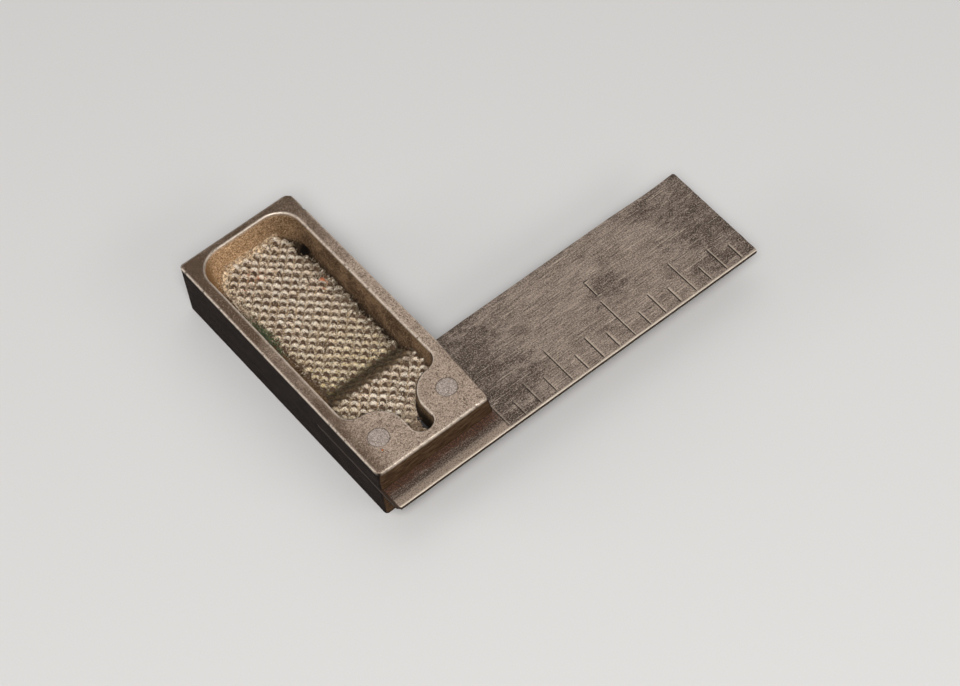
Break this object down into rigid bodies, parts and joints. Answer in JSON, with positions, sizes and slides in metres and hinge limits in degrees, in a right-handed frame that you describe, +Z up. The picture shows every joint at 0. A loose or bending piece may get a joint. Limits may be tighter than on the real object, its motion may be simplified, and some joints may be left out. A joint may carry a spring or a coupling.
{
  "type": "small try square",
  "caption": "Small riveted steel try square: a thin graduated blade held at a right angle in a slotted, hollowed stock lined with coarse cloth.",
  "frame": {"origin": "centre of the stock's underside, the flat face that the square rests on", "axes": "+X along the blade towards its tip, +Y along the stock towards its free end, +Z up through the stock's height"},
  "size_m": [0.0728, 0.0569, 0.0115],
  "materials": {
    "stock_steel": "worn satin, brown patina, bright edges",
    "blade_steel": "brushed lengthwise, mottled grey-brown patina",
    "rivet_steel": "dull, filed flush",
    "cloth": "coarse knobbly looped cloth, soiled cream"
  },
  "bodies": {
    "root": {"stock": "stock_steel", "blade": "blade_steel", "outer_rivet": "rivet_steel", "inner_rivet": "rivet_steel", "cloth_lining": "cloth"}
  },
  "joints": []
}
